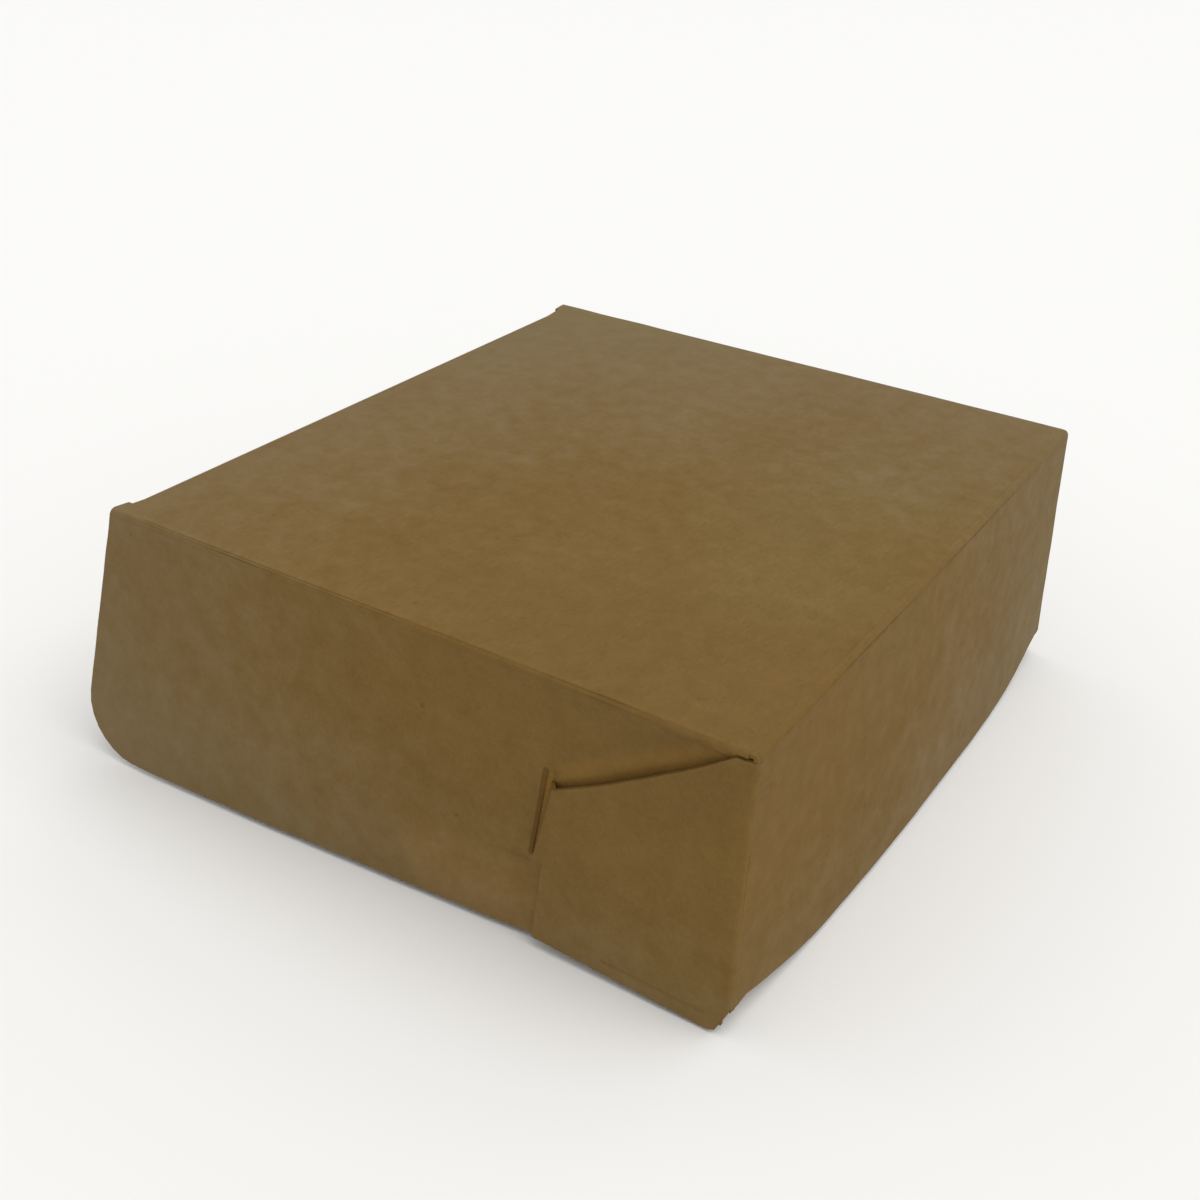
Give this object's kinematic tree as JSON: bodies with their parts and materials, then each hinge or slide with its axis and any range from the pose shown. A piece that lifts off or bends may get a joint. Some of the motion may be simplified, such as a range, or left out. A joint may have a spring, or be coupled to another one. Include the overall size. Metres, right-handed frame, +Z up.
{
  "type": "folded cardboard box",
  "caption": "Closed kraft board box: an open tray inside a full-depth lid that hinges on the rear fold, with slotted flaps locking the lid's front corners.",
  "frame": {"origin": "middle of the box's outline, on the surface the box stands on", "axes": "+X to the right across the front, +Y from the front wall to the hinge at the rear, +Z up"},
  "size_m": [0.2146, 0.1983, 0.076],
  "materials": {
    "board": "matt brown kraft board",
    "board_inside": "matt brown kraft board, not worn"
  },
  "bodies": {
    "tray": {"tray": "board_inside"},
    "lid": {"lid": "board"}
  },
  "joints": [
    {"name": "lid_hinge", "type": "hinge", "parent": "tray", "child": "lid", "pos_m": [0, 0.08547, 0.0741], "axis": [-1, 0, 0], "range_deg": [0, 180]}
  ]
}
